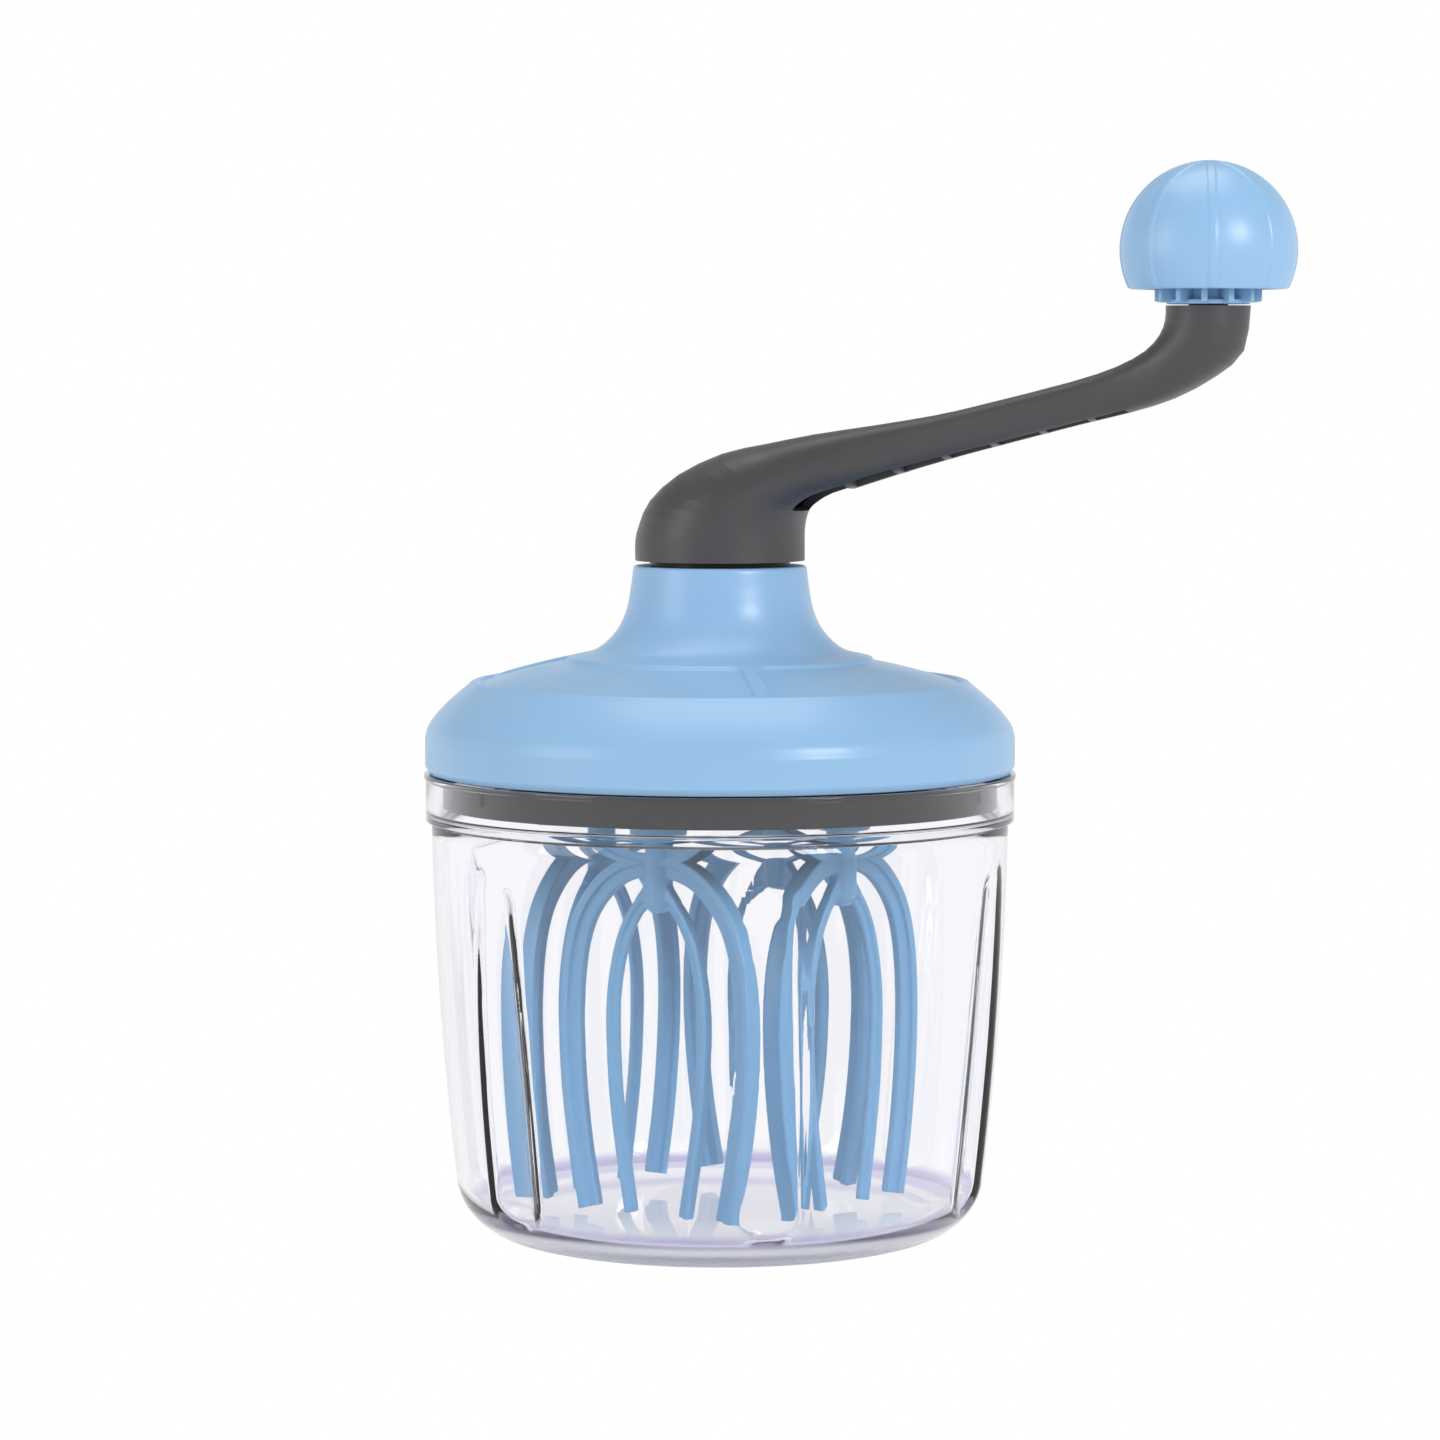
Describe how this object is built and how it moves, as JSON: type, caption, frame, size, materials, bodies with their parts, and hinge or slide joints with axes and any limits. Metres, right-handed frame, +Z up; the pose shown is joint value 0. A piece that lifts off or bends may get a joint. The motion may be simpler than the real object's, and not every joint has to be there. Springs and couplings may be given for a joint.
{
  "type": "hand-cranked egg beater",
  "caption": "Hand-cranked egg beater: a clear bowl under a domed lid whose offset crank, through a planetary drive, spins forked whisks.",
  "frame": {"origin": "centre of the bowl's flat underside, where the egg beater stands", "axes": "+Z up along the bowl's and the crank's axis; +X from that axis towards the knob at rest"},
  "size_m": [0.2087, 0.1406, 0.253],
  "materials": {
    "clear_plastic": "clear gloss",
    "blue_plastic": "satin gloss",
    "whisk_plastic": "satin",
    "crank_plastic": "satin",
    "dark_plastic": "satin",
    "white_acetal": "satin",
    "steel": "turned"
  },
  "bodies": {
    "bowl": {"bowl": "clear_plastic"},
    "lid": {"lid_dome": "blue_plastic", "collar_ring": "dark_plastic", "lid_screws": "steel", "upper_bush": "white_acetal", "lower_bush": "white_acetal", "thrust_washer": "dark_plastic", "ring_gear": "white_acetal"},
    "crank": {"crank_arm": "crank_plastic", "drive_shaft": "steel", "carrier_plate": "dark_plastic", "carrier_cover": "white_acetal", "carrier_screws": "steel", "shaft_screw": "steel", "shaft_washer": "steel", "knob_washer": "steel", "knob_screw": "steel"},
    "knob": {"knob_shell": "blue_plastic", "knob_hub": "blue_plastic"},
    "whisk_1": {"whisk_1": "whisk_plastic", "planet_gear_1": "white_acetal"},
    "whisk_2": {"whisk_2": "whisk_plastic", "planet_gear_2": "white_acetal"},
    "whisk_3": {"whisk_3": "whisk_plastic", "planet_gear_3": "white_acetal"},
    "whisk_4": {"whisk_4": "whisk_plastic", "planet_gear_4": "white_acetal"}
  },
  "joints": [
    {"name": "lid_lift", "type": "slide", "parent": "bowl", "child": "lid", "axis": [0, 0, 1], "range_m": [0, 0.115]},
    {"name": "crank_turn", "type": "hinge", "parent": "lid", "child": "crank", "pos_m": [0, 0, 0.16], "axis": [0, 0, 1], "continuous": true},
    {"name": "knob_spin", "type": "hinge", "parent": "crank", "child": "knob", "pos_m": [0.1184, 0, 0.2301], "axis": [0, 0, 1], "continuous": true},
    {"name": "whisk_spin_1", "type": "hinge", "parent": "crank", "child": "whisk_1", "pos_m": [0.0318, -0.00357, 0.105], "axis": [0, 0, 1], "continuous": true},
    {"name": "whisk_spin_2", "type": "hinge", "parent": "crank", "child": "whisk_2", "pos_m": [0.00357, 0.0318, 0.105], "axis": [0, 0, 1], "continuous": true},
    {"name": "whisk_spin_3", "type": "hinge", "parent": "crank", "child": "whisk_3", "pos_m": [-0.0318, 0.00357, 0.105], "axis": [0, 0, 1], "continuous": true},
    {"name": "whisk_spin_4", "type": "hinge", "parent": "crank", "child": "whisk_4", "pos_m": [-0.00357, -0.0318, 0.105], "axis": [0, 0, 1], "continuous": true}
  ],
  "couplings": [
    {"joint": "whisk_spin_1", "follows": "crank_turn", "ratio": -3},
    {"joint": "whisk_spin_2", "follows": "crank_turn", "ratio": -3},
    {"joint": "whisk_spin_3", "follows": "crank_turn", "ratio": -3},
    {"joint": "whisk_spin_4", "follows": "crank_turn", "ratio": -3}
  ]
}
